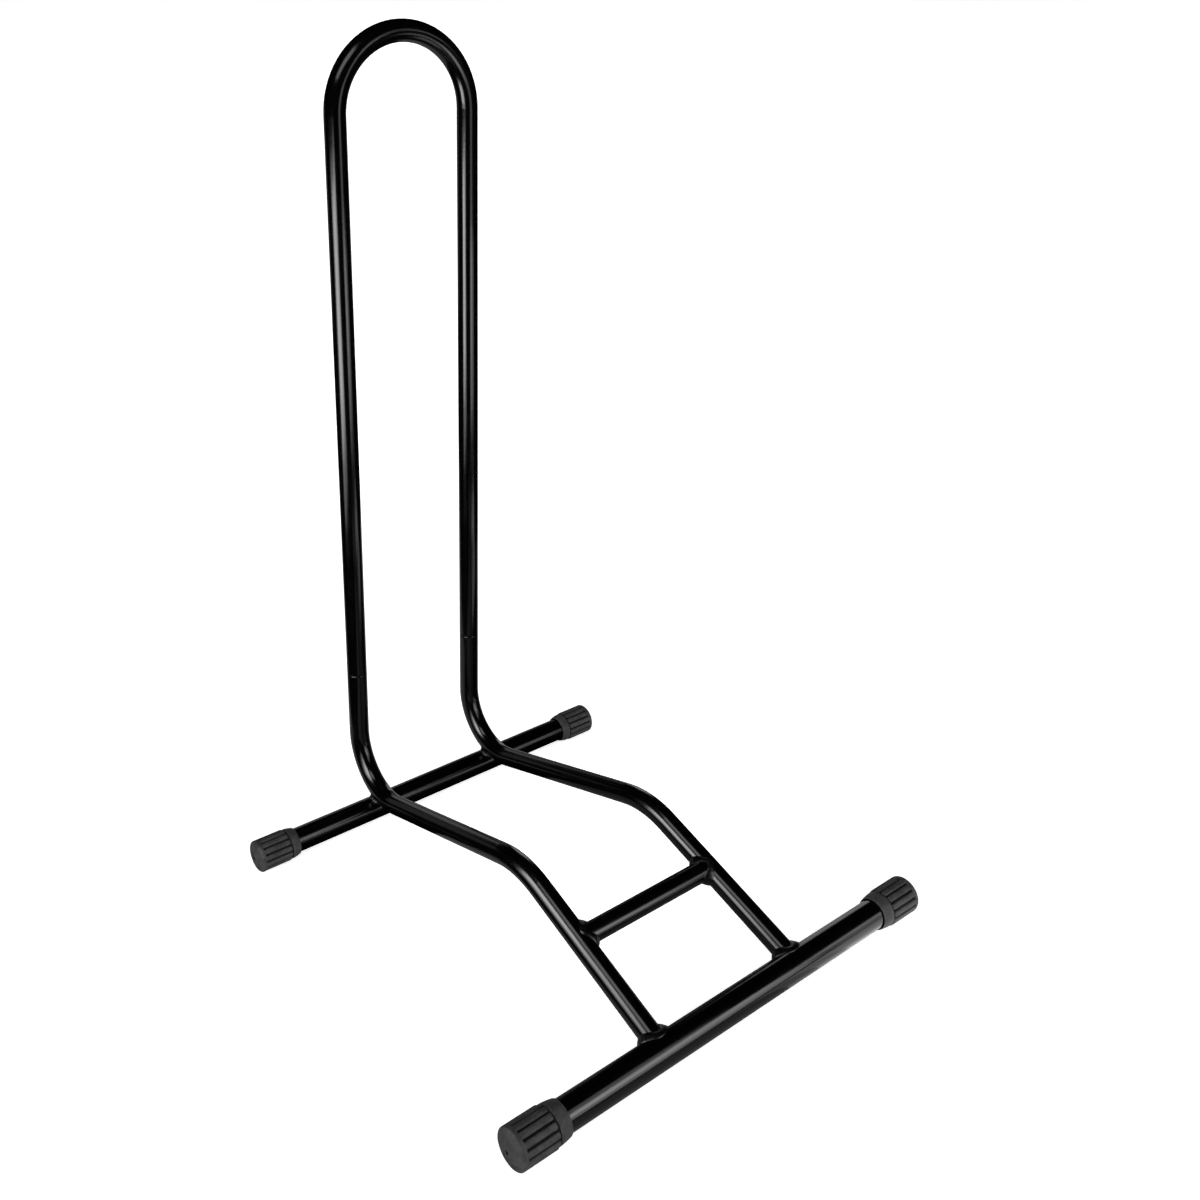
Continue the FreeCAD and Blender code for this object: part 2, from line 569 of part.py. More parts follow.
def bead(name, points, radius, tools):
    """Rounded bead along a closed curve, trimmed where it would enter the tubes."""
    curve = Part.BSplineCurve()
    curve.interpolate(Points=points, PeriodicFlag=True)
    lo, hi = curve.FirstParameter, curve.LastParameter
    halves = []
    for n, (u, v) in enumerate(((lo, (lo + hi) / 2), ((lo + hi) / 2, hi))):
        spine = Part.Wire([curve.toShape(u, v)])
        ring = Part.Wire([Part.makeCircle(radius, curve.value(u), curve.tangent(u)[0])])
        half = doc.addObject("Part::Feature", "%s_half%d" % (name, n))
        half.Shape = spine.makePipeShell([ring], True, False)
        halves.append(half)
    out = doc.addObject("Part::Fuse", name + "_run")
    out.Base, out.Tool = halves
    doc.recompute()
    for n, tool in enumerate(tools):
        out = cut(name if n == len(tools) - 1 else "%s_trim%d" % (name, n), out, tool)
    return out


BR = S["bead_radius"]
tube_tool_rung = solid_cylinder("RungTool", "Sizes.rung_diameter/2", S["rung_diameter"] / 2,
                                Vector(-90, rung_c.y, rung_c.z), Vector(1, 0, 0), 180)
# rung to rail: the branch runs from the rail's axis towards the middle
pts_rung = saddle_points(on_axis, Vector(-1, 0, 0), w2, toe_dir, R_T + 0.7, S["rung_diameter"] / 2 + 0.7, 0.9)
weld_rung_right = bead("weld_rung_right", pts_rung, BR, [tube_tool_rung, tool_r])
weld_rung_left = mirror("weld_rung_left", weld_rung_right)

# rail to front crossbar: the branch runs from the bar's axis up the rail
tube_tool_toe = solid_cylinder("ToeTool", "Sizes.frame_tube_diameter/2", R_T, w3 - toe_dir * 80, toe_dir, 80)
pts_front = saddle_points(w3, toe_dir * -1, FRONT, Vector(1, 0, 0), S["front_bar_diameter"] / 2 + 0.8, R_T + 0.8, 1.0)
weld_front_right = bead("weld_front_right", pts_front, BR + 0.2, [tube_tool_toe, bar_tool])
weld_front_left = mirror("weld_front_left", weld_front_right)

# rail bend on the rear crossbar: a ring of weld round the touching point
cb = RAIL_PLACE.multVec(Vector(0, c1.x, c1.y))
n_rail = RAIL_PLACE.Rotation.multVec(Vector(1, 0, 0))
# point of the bar's axis line nearest to the bend's centre circle
best = None
for i in range(-400, 401):
    q = Vector(HW + i * 0.01, REAR.y, REAR.z)
    d = q - cb
    off = d.dot(n_rail)
    flat = d - n_rail * off
    dist = math.hypot(flat.Length - RB, off)
    if best is None or dist < best[0]:
        best = (dist, q, cb + flat * (RB / flat.Length))
gap = best[0] - R_T - S["rear_bar_diameter"] / 2
print("rail bend to rear crossbar gap %.3f" % gap)
contact_dir = (best[2] - best[1]).normalize()
contact = best[1] + contact_dir * (S["rear_bar_diameter"] / 2)
torus = doc.addObject("Part::Torus", "RearWeldRing")
torus.Radius1 = 6.6
torus.Radius2 = 2.9
torus.Placement = Placement(contact, Rotation(Vector(0, 0, 1), contact_dir))
rear_tool = solid_cylinder("RearBarTool", "Sizes.rear_bar_diameter/2", S["rear_bar_diameter"] / 2,
                           Vector(-150, REAR.y, REAR.z), Vector(1, 0, 0), 300)
# the bend as a solid of its outer diameter
bend_tool = doc.addObject("Part::Feature", "BendTool")
arc_edge = Part.Arc(world(pa), cb + (((world(pa) + world(pb)) * 0.5 - cb).normalize() * RB), world(pb)).toShape()
spine = Part.Wire([arc_edge])
tan0 = (world(V1) - world(pa)).normalize()
prof0 = Part.Wire([Part.makeCircle(R_T, world(pa), tan0)])
bend_tool.Shape = spine.makePipeShell([prof0], True, True)
doc.recompute()
wr1 = cut("RearWeldTrim", torus, rear_tool)
weld_rear_right = cut("weld_rear_right", wr1, bend_tool)
weld_rear_left = mirror("weld_rear_left", weld_rear_right)
doc.recompute()

# ------------------------------------------------------------------ write
NODES = {
    "upper_hoop": hoop, "left_side_rail": left_rail, "right_side_rail": right_rail,
    "cross_rung": cross_rung, "rear_crossbar": rear_bar, "front_crossbar": front_bar,
    "rear_cap_left": rear_cap_left, "rear_cap_right": rear_cap,
    "front_cap_left": front_cap_left, "front_cap_right": front_cap,
    "weld_rear_left": weld_rear_left, "weld_rear_right": weld_rear_right,
    "weld_front_left": weld_front_left, "weld_front_right": weld_front_right,
    "weld_rung_left": weld_rung_left, "weld_rung_right": weld_rung_right,
}
for obj in doc.Objects:
    if {"Invalid", "Error"} & set(obj.State):
        raise RuntimeError("%s: %s" % (obj.Name, obj.State))
os.makedirs("parts", exist_ok=True)
box = FreeCAD.BoundBox()
for node, obj in NODES.items():
    obj.Label = node
    shape = obj.Shape
    if shape.isNull() or not shape.isValid() or len(shape.Solids) != 1:
        raise RuntimeError("%s: null %s valid %s solids %d" % (node, shape.isNull(), shape.isValid(), len(shape.Solids)))
    shape.exportStep("parts/%s.step" % node)
    box.add(shape.optimalBoundingBox(True, False))
    print("%-18s volume %.0f" % (node, shape.Volume))
print("box x %.2f %.2f  y %.2f %.2f  z %.2f %.2f" % (box.XMin, box.XMax, box.YMin, box.YMax, box.ZMin, box.ZMax))
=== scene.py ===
"""Looks of the floor bike rack: gloss-painted tubes, rippled welds, ribbed rubber caps.

Metres, in the row frame: +X the rack's right, +Y its rear, +Z up, floor at z = 0.
"""

import math

import bmesh
import bpy
from mathutils import Matrix, Vector, noise


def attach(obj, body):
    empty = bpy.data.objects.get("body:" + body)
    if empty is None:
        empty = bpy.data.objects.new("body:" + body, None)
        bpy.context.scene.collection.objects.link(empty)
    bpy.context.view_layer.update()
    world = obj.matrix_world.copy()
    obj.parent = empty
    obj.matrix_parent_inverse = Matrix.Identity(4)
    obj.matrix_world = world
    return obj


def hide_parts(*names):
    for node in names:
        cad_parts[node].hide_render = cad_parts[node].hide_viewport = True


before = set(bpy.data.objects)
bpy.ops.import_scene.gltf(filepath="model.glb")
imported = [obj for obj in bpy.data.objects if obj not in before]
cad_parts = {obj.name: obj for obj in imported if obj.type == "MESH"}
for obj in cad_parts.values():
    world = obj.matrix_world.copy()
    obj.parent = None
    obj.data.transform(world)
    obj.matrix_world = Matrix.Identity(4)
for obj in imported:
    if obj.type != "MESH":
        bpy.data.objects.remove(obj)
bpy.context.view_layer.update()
scene = bpy.context.scene
MM = 0.001


# ------------------------------------------------------------ node helpers
def new_material(name):
    mat = bpy.data.materials.new(name)
    mat.use_nodes = True
    nt = mat.node_tree
    nt.nodes.clear()
    out = nt.nodes.new("ShaderNodeOutputMaterial")
    bsdf = nt.nodes.new("ShaderNodeBsdfPrincipled")
    nt.links.new(bsdf.outputs["BSDF"], out.inputs["Surface"])
    return mat, nt, bsdf


def noise_node(nt, coord, scale, detail=3.0, rough=0.5, distortion=0.0):
    n = nt.nodes.new("ShaderNodeTexNoise")
    n.inputs["Scale"].default_value = scale
    n.inputs["Detail"].default_value = detail
    n.inputs["Roughness"].default_value = rough
    n.inputs["Distortion"].default_value = distortion
    nt.links.new(coord, n.inputs["Vector"])
    return n.outputs["Fac"]


def map_range(nt, value, a, b, c, d, smooth=False):
    m = nt.nodes.new("ShaderNodeMapRange")
    m.interpolation_type = "SMOOTHSTEP" if smooth else "LINEAR"
    m.inputs["From Min"].default_value = a
    m.inputs["From Max"].default_value = b
    m.inputs["To Min"].default_value = c
    m.inputs["To Max"].default_value = d
    nt.links.new(value, m.inputs["Value"])
    return m.outputs["Result"]


def mix_colour(nt, fac, a, b):
    m = nt.nodes.new("ShaderNodeMix")
    m.data_type = "RGBA"
    m.inputs[6].default_value = (*a, 1)
    m.inputs[7].default_value = (*b, 1)
    nt.links.new(fac, m.inputs[0])
    return m.outputs[2]


def math_node(nt, op, a, b=None):
    m = nt.nodes.new("ShaderNodeMath")
    m.operation = op
    for i, v in enumerate((a, b)):
        if v is None:
            continue
        if isinstance(v, (int, float)):
            m.inputs[i].default_value = v
        else:
            nt.links.new(v, m.inputs[i])
    return m.outputs[0]


def bump(nt, height, strength, distance, normal=None):
    b = nt.nodes.new("ShaderNodeBump")
    b.inputs["Strength"].default_value = strength
    b.inputs["Distance"].default_value = distance
    nt.links.new(height, b.inputs["Height"])
    if normal is not None:
        nt.links.new(normal, b.inputs["Normal"])
    return b.outputs["Normal"]


def object_coord(nt, scale=(1, 1, 1)):
    tc = nt.nodes.new("ShaderNodeTexCoord")
    mp = nt.nodes.new("ShaderNodeMapping")
    mp.inputs["Scale"].default_value = scale
    nt.links.new(tc.outputs["Object"], mp.inputs["Vector"])
    return mp.outputs["Vector"]


# ---------------------------------------------------------------- materials
def paint_material(name, rough, orange):
    """Near-black gloss coat: faint orange peel, cloudy gloss, a few fine rub marks."""
    mat, nt, bsdf = new_material(name)
    co = object_coord(nt)
    clouds = noise_node(nt, co, 38.0, 3.0)
    fine = noise_node(nt, co, 900.0, 2.0)
    bsdf_col = mix_colour(nt, clouds, (0.0003, 0.0003, 0.0003), (0.0008, 0.0008, 0.0008))
    nt.links.new(bsdf_col, bsdf.inputs["Base Color"])
    r1 = map_range(nt, clouds, 0.3, 0.7, rough - 0.025, rough + 0.03)
    # rub marks: thin broken streaks that are slightly duller
    streak_co = object_coord(nt, (60, 60, 420))
    streaks = noise_node(nt, streak_co, 1.0, 4.0, 0.62, 0.4)
    marks = map_range(nt, streaks, 0.66, 0.74, 0.0, 0.07, True)
    specks = map_range(nt, fine, 0.30, 0.70, -0.012, 0.012)
    nt.links.new(math_node(nt, "ADD", math_node(nt, "ADD", r1, marks), specks), bsdf.inputs["Roughness"])
    peel = noise_node(nt, co, 420.0, 2.0, 0.45)
    sag = noise_node(nt, co, 90.0, 1.0, 0.4)
    n1 = bump(nt, sag, 0.35, 0.00010 * orange)
    n2 = bump(nt, peel, 0.5, 0.00005 * orange, n1)
    nt.links.new(n2, bsdf.inputs["Normal"])
    bsdf.inputs["IOR"].default_value = 1.5
    bsdf.inputs["Specular IOR Level"].default_value = 0.5
    return mat


RUBBER_DARK = (0.021, 0.021, 0.0215)
RUBBER_LIGHT = (0.038, 0.038, 0.0385)


def rubber_material(name):
    """Moulded dark-grey rubber: fine grain, cloudy bloom, and painted shade that darkens the hollows towards
    near-black.
    """
    mat, nt, bsdf = new_material(name)
    co = object_coord(nt)
    bloom = noise_node(nt, co, 130.0, 4.0, 0.6)
    blot = noise_node(nt, co, 420.0, 3.0, 0.6)
    both = math_node(nt, "ADD", math_node(nt, "MULTIPLY", bloom, 0.6), math_node(nt, "MULTIPLY", blot, 0.4))
    fac = map_range(nt, both, 0.36, 0.64, 0.0, 1.0, True)
    col = mix_colour(nt, fac, RUBBER_DARK, RUBBER_LIGHT)
    # painted shade: where the 'hollow' attribute is high (flutes, the groove by the collar, inside the mouth, the gate
    # dimple) the colour is darkened towards near-black
    hollow = nt.nodes.new("ShaderNodeAttribute")
    hollow.attribute_name = "hollow"
    shade_amount = map_range(nt, hollow.outputs["Fac"], 0.0, 1.0, 0.0, 0.93, True)
    hollow_shade = nt.nodes.new("ShaderNodeMix")
    hollow_shade.data_type = "RGBA"
    nt.links.new(shade_amount, hollow_shade.inputs[0])
    nt.links.new(col, hollow_shade.inputs[6])
    hollow_shade.inputs[7].default_value = (0.0020, 0.0020, 0.0020, 1)
    nt.links.new(hollow_shade.outputs[2], bsdf.inputs["Base Color"])
    r1 = map_range(nt, both, 0.3, 0.7, 0.50, 0.64)
    r2 = math_node(nt, "ADD", r1, math_node(nt, "MULTIPLY", hollow.outputs["Fac"], 0.34))
    nt.links.new(r2, bsdf.inputs["Roughness"])
    grain = noise_node(nt, co, 1500.0, 2.0, 0.6)
    n1 = bump(nt, blot, 0.4, 0.00014)
    n2 = bump(nt, grain, 0.45, 0.00005, n1)
    nt.links.new(n2, bsdf.inputs["Normal"])
    bsdf.inputs["IOR"].default_value = 1.45
    bsdf.inputs["Specular IOR Level"].default_value = 0.26
    return mat


def floor_material():
    """Pale seamless floor that glows a little, as a lit white sweep does."""
    mat, nt, bsdf = new_material("pale_floor")
    co = object_coord(nt)
    n = noise_node(nt, co, 3.0, 3.0)
    col = mix_colour(nt, n, (0.89, 0.89, 0.89), (0.91, 0.91, 0.91))
    nt.links.new(col, bsdf.inputs["Base Color"])
    nt.links.new(col, bsdf.inputs["Emission Color"])
    bsdf.inputs["Emission Strength"].default_value = 0.85
    bsdf.inputs["Roughness"].default_value = 0.9
    bsdf.inputs["Specular IOR Level"].default_value = 0.0
    return mat


PAINT = paint_material("gloss_paint", 0.15, 1.0)
WELD = paint_material("painted_weld", 0.30, 1.4)
RUBBER = rubber_material("cap_rubber")


# ------------------------------------------------------------ mesh helpers
def mesh_from_grid(name, rings, close_u, end_start, end_stop, mat, fix=True, hollow=None):
    """rings: lists of points of equal count, joined ring to ring.  Each ring is
    closed on itself.  end_start/end_stop: a point, or None to leave open."""
    n = len(rings[0])
    verts = [p for ring in rings for p in ring]
    faces = []
    m = len(rings)
    last = m if close_u else m - 1
    for i in range(last):
        a, b = i * n, ((i + 1) % m) * n
        for j in range(n):
            k = (j + 1) % n
            faces.append((a + j, a + k, b + k, b + j))
    if end_start is not None:
        verts.append(end_start)
        c = len(verts) - 1
        for j in range(n):
            faces.append((c, (j + 1) % n, j))
    if end_stop is not None:
        verts.append(end_stop)
        c = len(verts) - 1
        a = (m - 1) * n
        for j in range(n):
            faces.append((c, a + j, a + (j + 1) % n))
    me = bpy.data.meshes.new(name)
    me.from_pydata([tuple(v) for v in verts], [], faces)
    if hollow is not None:
        at = me.attributes.new("hollow", "FLOAT", "POINT")
        flat_list = [h for ring in hollow for h in ring]
        flat_list += [1.0] * (len(verts) - len(flat_list))
        at.data.foreach_set("value", flat_list)
    if fix:
        bm = bmesh.new()
        bm.from_mesh(me)
        bmesh.ops.recalc_face_normals(bm, faces=bm.faces)
        bm.to_mesh(me)
        bm.free()
    for p in me.polygons:
        p.use_smooth = True
    me.materials.append(mat)
    ob = bpy.data.objects.new(name, me)
    scene.collection.objects.link(ob)
    return ob


# --------------------------------------------------------------------- caps
def cap_piece(name, node, side, centre, S, turn):
    """Ribbed end cap: flared mouth, tapered shoulder, fluted barrel, domed end."""
    R, C, M, F, D, f = S["R"], S["C"], S["M"], S["F"], S["D"], S["rim"]
    inner, shoulder, step, fe, apex = S["inner"], S["shoulder"], S["step"], S["flute_end"], S["apex"]
    bore, bar_end = S["bore"], S["bar_end"]
    n_fl = 14
    per = 28
    n = n_fl * per
    pitch = 2 * math.pi / n_fl
    half = pitch * R / 2
    cx = apex - D
    fx = cx + math.sqrt((D - f) ** 2 - (R - f) ** 2)
    ang = math.atan2(R - f, fx - cx)
    gate_r, gate_d = 1.6, 1.6
    edge = 1.35                                      # width over which a rib's flank rounds up

    def lobe(th, x):
        """0 in the bottom of a flute, 1 on a rib's crest."""
        d = abs((th - turn + pitch / 2) % pitch - pitch / 2) * R
        t = min(1.0, max(0.0, (d - 0.75) / edge))
        e = min(1.0, max(0.0, (x - step) / 1.9))
        q = min(1.0, max(0.0, 1.0 - math.hypot(1.0 - t, 1.0 - e)))
        crown = 1.0 - 0.13 * (1.0 - min(1.0, max(0.0, (d - 0.75) / (half - 0.75)))) ** 2
        return (1.0 - (1.0 - q) ** 2.4) ** (1 / 2.4) * crown

    rows = []                                        # (x, radius at an angle, how hollow it is; the rubber gets painted shade there)

    def flat(x, r, h=0.0):
        rows.append((x, lambda th, r=r: r, lambda th, h=h: h))

    # inside of the mouth: painted shade, darkened fully
    flat(bar_end, 0.35 * bore, 1)
    flat(bar_end, bore - 0.1, 1)
    flat(bar_end - 0.15, bore + 0.02, 1)
    flat(inner + 2.2, bore + 0.02, 1)
    flat(inner + 1.2, bore + 0.40, 1)
    flat(inner + 0.10, bore + 0.80, 0.8)
    flat(inner, bore + 0.92, 0.2)
    flat(inner, M - 0.28)
    flat(inner + 0.10, M - 0.10)
    flat(inner + 0.30, M + 0.02)
    for k in range(1, 15):
        t = k / 14
        flat(inner + 0.30 + (shoulder - inner - 0.30) * t, M + (C - M) * (0.45 * t + 0.55 * math.sin(t * math.pi / 2)))
    for k in range(1, 4):
        flat(shoulder + (step - 1.30 - shoulder) * k / 3, C)
    for dx, dr, h in ((-1.10, 0.08, 0.2), (-0.90, 0.40, 0.9), (-0.65, 0.62, 1.0), (-0.35, 0.64, 1.0), (-0.08, 0.58, 1.0)):
        flat(step + dx, C - dr, h)                   # narrow line between collar and ribs, its bottom painted dark as shade
    xs = [step + 1.9 * k / 12 for k in range(0, 13)]
    xs += [step + 1.9 + (fe - 0.32 - step - 1.9) * k / 16 for k in range(1, 17)]

    # how deep a point sits in a flute; it sets the painted shade there
    def sunk(th, x, base):
        r = base + (R - base) * lobe(th, x)
        return min(1.0, max(0.0, (R - 0.55 - r) / (R - F - 0.7)))

    for x in xs:
        base = F if x > step + 0.35 else F + (C - 0.55 - F) * (1 - (x - step) / 0.35)
        rows.append((x, lambda th, x=x, base=base: base + (R - base) * lobe(th, x),
                     lambda th, x=x, base=base: sunk(th, x, base)))
    for k in range(1, 6):                            # flutes stop against the end flange
        t = k / 5
        x = fe - 0.32 + 0.42 * t
        w = t * t * (3 - 2 * t)
        rows.append((x, lambda th, x=x, w=w: (F + (R - F) * lobe(th, x)) * (1 - w) + R * w,
                     lambda th, x=x, w=w: sunk(th, x, F) * (1 - w)))
    for k in range(1, 4):
        flat(fe + 0.10 + (fx - fe - 0.10) * k / 3, R)
    for k in range(1, 11):
        a = math.pi / 2 - (math.pi / 2 - ang) * k / 10
        flat(fx + f * math.cos(a), R - f + f * math.sin(a))
    ga = math.asin(gate_r / D)
    for k in range(1, 11):
        a = ang + (ga * 1.22 - ang) * k / 10
        flat(cx + D * math.cos(a), D * math.sin(a))
    gx = cx + D * math.cos(ga)
    # gate dimple, darkened inside as painted shade
    flat(gx - 0.05, gate_r * 1.02, 0.3)
    flat(gx - 0.22, gate_r * 0.94, 1.0)
    flat(gx - gate_d, gate_r * 0.80, 1.0)
    flat(gx - gate_d, gate_r * 0.3, 1.0)
    rings, hollow = [], []
    for x, fn, hn in rows:
        ring = []
        for j in range(n):
            th = 2 * math.pi * j / n
            r = fn(th)
            ring.append(Vector((side * x, centre[0] + r * math.sin(th), centre[1] + r * math.cos(th))) * MM)
        rings.append(ring)
        hollow.append([float(hn(2 * math.pi * j / n)) for j in range(n)])
    start = Vector((side * bar_end, centre[0], centre[1])) * MM
    stop = Vector((side * (gx - gate_d), centre[0], centre[1])) * MM
    ob = mesh_from_grid(name, rings, False, start, stop, RUBBER, hollow=hollow)
    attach(ob, "base")
    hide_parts(node)
    return ob


FRONT_CAP = dict(R=15.98, C=15.2, M=13.88, F=14.0, D=38.0, rim=2.2, inner=166.02, shoulder=175.0, step=177.6,
                 flute_end=204.9, apex=211.77, bore=12.5, bar_end=205.5)
REAR_CAP = dict(R=14.48, C=13.75, M=12.38, F=12.7, D=36.0, rim=2.2, inner=151.32, shoulder=157.5, step=160.4,
                flute_end=185.8, apex=191.77, bore=11.0, bar_end=186.0)
for side, word, ft, rt in ((-1, "left", -9.1, -10.6), (1, "right", 8.7, -1.4)):
    cap_piece("front_rubber_cap_" + word, "front_cap_" + word, side, (-213.33, 16.0), FRONT_CAP, math.radians(ft))
    cap_piece("rear_rubber_cap_" + word, "rear_cap_" + word, side, (192.17, 14.5), REAR_CAP, math.radians(rt))

# --------------------------------------------------------------------- route
LEAN, SPLAY = math.radians(3.1), math.radians(1.14)
RAIL = Matrix.Translation((63.0, 223.97, 15.80)) @ Matrix.Rotation(LEAN, 4, "X") @ Matrix.Rotation(SPLAY, 4, "Z")
KNEE = RAIL @ Vector((0, -260.6, 80.4))
TOE = RAIL @ Vector((0, -436.7, 24.35))
TOE_DIR = (TOE - KNEE).normalized()
ON_AXIS = KNEE + TOE_DIR * ((-115.83 - KNEE.y) / TOE_DIR.y)
R_T = 9.0


def joint_line(origin, along, host_point, host_dir, host_r, branch_r, count):
    """Where a branch tube's wall meets a host tube's wall, with both walls' normals."""
    along = Vector(along).normalized()
    host = Vector(host_dir).normalized()
    e2 = along.cross(host).normalized()
    e1 = e2.cross(along).normalized()
    out = []
    for i in range(count):
        th = 2 * math.pi * i / count
        nb = e1 * math.cos(th) + e2 * math.sin(th)
        q = origin + nb * branch_r
        d = q - host_point
        d = d - host * d.dot(host)
        u = along - host * along.dot(host)
        a, b, c = u.dot(u), 2 * d.dot(u), d.dot(d) - host_r ** 2
        t = (-b + math.sqrt(max(0.0, b * b - 4 * a * c))) / (2 * a)
        p = q + along * t
        nh = p - host_point
        nh = (nh - host * nh.dot(host)).normalized()
        out.append((p, nb, nh))
    return out


def weld_fillet(name, node, side, line_pts, branch, host, leg, leg_flush, seed, ripple=2.2):
    """Weld laid in the corner between two tubes: wide flat fillet with soft ripples."""
    n = len(line_pts)
    bo, bd, br = branch
    ho, hd, hr = host
    bd, hd = Vector(bd).normalized(), Vector(hd).normalized()
    length = sum((line_pts[(i + 1) % n][0] - line_pts[i][0]).length for i in range(n))
    waves = max(8, round(length / ripple))

    def on_tube(p, o, d, r):
        axis_pt = o + d * (p - o).dot(d)
        return axis_pt + (p - axis_pt).normalized() * r

    rings = []
    for i in range(n):
        p, nb, nh = line_pts[i]
        t = (line_pts[(i + 1) % n][0] - line_pts[i - 1][0]).normalized()
        tb, th = nb.cross(t).normalized(), t.cross(nh).normalized()
        if tb.dot(bd) < 0:
            tb, th = -tb, -th
        open_ = max(0.0, min(1.0, (-tb.dot(th)) / 0.85))          # 0 square corner, 1 flush walls
        size = leg + (leg_flush - leg) * open_
        size *= 1.0 + 0.10 * noise.noise(p * 0.12 + Vector((seed, 0, 0)))
        w = i / n * waves
        w -= math.floor(w)
        scale = math.sin(math.pi * w) ** 0.7                       # one laid scale per wave
        a = on_tube(p + th * size * (0.97 + 0.03 * scale), ho, hd, hr + 0.01)
        b = on_tube(p + tb * size * (0.97 + 0.03 * scale), bo, bd, br + 0.01)
        m = (nb + nh).normalized()
        rise = (0.12 + 0.95 * open_) + 0.10 * scale
        ring = []
        for k in range(15):
            u = k / 14
            skew = t * (0.45 * math.sin(math.pi * u))              # scales bow along the run
            ring.append(a.lerp(b, u) + m * (rise * (4 * u * (1 - u)) ** 0.75) + skew)
        ring.append(b - nb * 0.7)
        ring.append(p - m * 0.7)
        ring.append(a - nh * 0.7)
        rings.append([Vector((side * v.x, v.y, v.z)) * MM for v in ring])
    ob = mesh_from_grid(name, rings, True, None, None, WELD)
    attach(ob, "base")
    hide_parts(node)
    return ob


def bead_piece(name, node, side, pts, outs, radius, ripple, seed):
    """Weld bead with its ripples, swept along a closed curve."""
    n = len(pts)
    length = sum((pts[(i + 1) % n] - pts[i]).length for i in range(n))
    waves = max(6, round(length / ripple))
    rings = []
    sec = 28
    for i in range(n):
        t = (pts[(i + 1) % n] - pts[i - 1]).normalized()
        a = (outs[i] - t * outs[i].dot(t)).normalized()
        b = t.cross(a)
        u = i / n * waves
        w = u - math.floor(u)
        scale = 1.0 - 0.13 * (1 - math.sin(math.pi * w) ** 0.6)
        scale *= 0.985 + 0.03 * (noise.noise(pts[i] * 0.35 + Vector((seed, 0, 0))))
        ring = []
        for j in range(sec):
            th = 2 * math.pi * j / sec
            skew = 0.25 * math.cos(th) * radius * 0.35          # ripples lean like laid scales
            p = pts[i] + a * (radius * scale * math.cos(th)) + b * (radius * scale * math.sin(th)) + t * skew
            ring.append(Vector((side * p.x, p.y, p.z)) * MM)
        rings.append(ring)
    ob = mesh_from_grid(name, rings, True, None, None, WELD)
    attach(ob, "base")
    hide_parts(node)
    return ob


RUNG_C = Vector((0, ON_AXIS.y, ON_AXIS.z))
FRONT_C = Vector((0, -213.33, 16.0))
rung_line = joint_line(ON_AXIS, (-1, 0, 0), KNEE, TOE_DIR, R_T, 8.75, 280)
front_line = joint_line(TOE, TOE_DIR * -1, FRONT_C, (1, 0, 0), 12.5, R_T, 300)

# rail bend on the rear bar: ring of weld round the touching point
RB = 50.5


def corner_centre(a, v, b, r):
    u, w = (a - v).normalized(), (b - v).normalized()
    h = math.acos(max(-1, min(1, u.dot(w)))) / 2
    return v + (u + w).normalized() * (r / math.sin(h))


c1 = corner_centre(Vector((0, 125.5)), Vector((0, 0)), Vector((-260.6, 80.4)), RB)
cb = RAIL @ Vector((0, c1.x, c1.y))
n_rail = (RAIL.to_3x3() @ Vector((1, 0, 0))).normalized()
best = None
for i in range(-400, 401):
    q = Vector((63.0 + i * 0.01, 192.17, 14.5))
    d = q - cb
    off = d.dot(n_rail)
    flat_d = d - n_rail * off
    dist = math.hypot(flat_d.length - RB, off)
    if best is None or dist < best[0]:
        best = (dist, q, cb + flat_d * (RB / flat_d.length))
contact_dir = (best[2] - best[1]).normalized()
contact = best[1] + contact_dir * 11.0
ea = contact_dir.cross(Vector((1, 0, 0))).normalized()
eb = contact_dir.cross(ea).normalized()
rear_pts, rear_out = [], []
for i in range(160):
    th = 2 * math.pi * i / 160
    o = ea * math.cos(th) + eb * math.sin(th)
    rear_pts.append(contact + o * 6.6)
    rear_out.append(o)

for side, word in ((-1, "left"), (1, "right")):
    weld_fillet("rung_weld_bead_" + word, "weld_rung_" + word, side, rung_line, (RUNG_C, (-1, 0, 0), 8.75),
                (KNEE, TOE_DIR, R_T), 5.2, 2.6, 3.1 + side)
    weld_fillet("front_weld_bead_" + word, "weld_front_" + word, side, front_line, (TOE, TOE_DIR * -1, R_T),
                (FRONT_C, (1, 0, 0), 12.5), 5.4, 3.2, 7.7 + side, 2.4)
    bead_piece("rear_weld_bead_" + word, "weld_rear_" + word, side, rear_pts, rear_out, 2.75, 2.6, 5.2 + side)

# --------------------------------------------------------------- CAD finishes
for node in ("upper_hoop", "left_side_rail", "right_side_rail", "cross_rung", "rear_crossbar", "front_crossbar"):
    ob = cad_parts[node]
    ob.data.materials.clear()
    ob.data.materials.append(PAINT)
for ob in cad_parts.values():
    if not ob.hide_render:
        continue
    ob.data.materials.clear()
    ob.data.materials.append(RUBBER if "cap" in ob.name else WELD)


# ------------------------------------------------------------- floor & light
def quad(name, pts, mat):
    me = bpy.data.meshes.new(name)
    me.from_pydata(pts, [], [(0, 1, 2, 3)])
    me.materials.append(mat)
    ob = bpy.data.objects.new(name, me)
    scene.collection.objects.link(ob)
    return ob


floor = quad("floor", [(-150, -150, 0), (150, -150, 0), (150, 150, 0), (-150, 150, 0)], floor_material())
floor.visible_glossy = False                         # the lit patches below stand in for it

world = bpy.data.worlds.new("studio")
scene.world = world
world.use_nodes = True
wt = world.node_tree
bg = wt.nodes["Background"]
bg.inputs["Color"].default_value = (1.0, 1.0, 1.0, 1)
lp = wt.nodes.new("ShaderNodeLightPath")
wm = wt.nodes.new("ShaderNodeMapRange")
wm.inputs["To Min"].default_value = 0.22             # soft fill
wm.inputs["To Max"].default_value = 1.0              # white beyond the floor's edge
wt.links.new(lp.outputs["Is Camera Ray"], wm.inputs["Value"])
wt.links.new(wm.outputs["Result"], bg.inputs["Strength"])
world.cycles_visibility.glossy = False


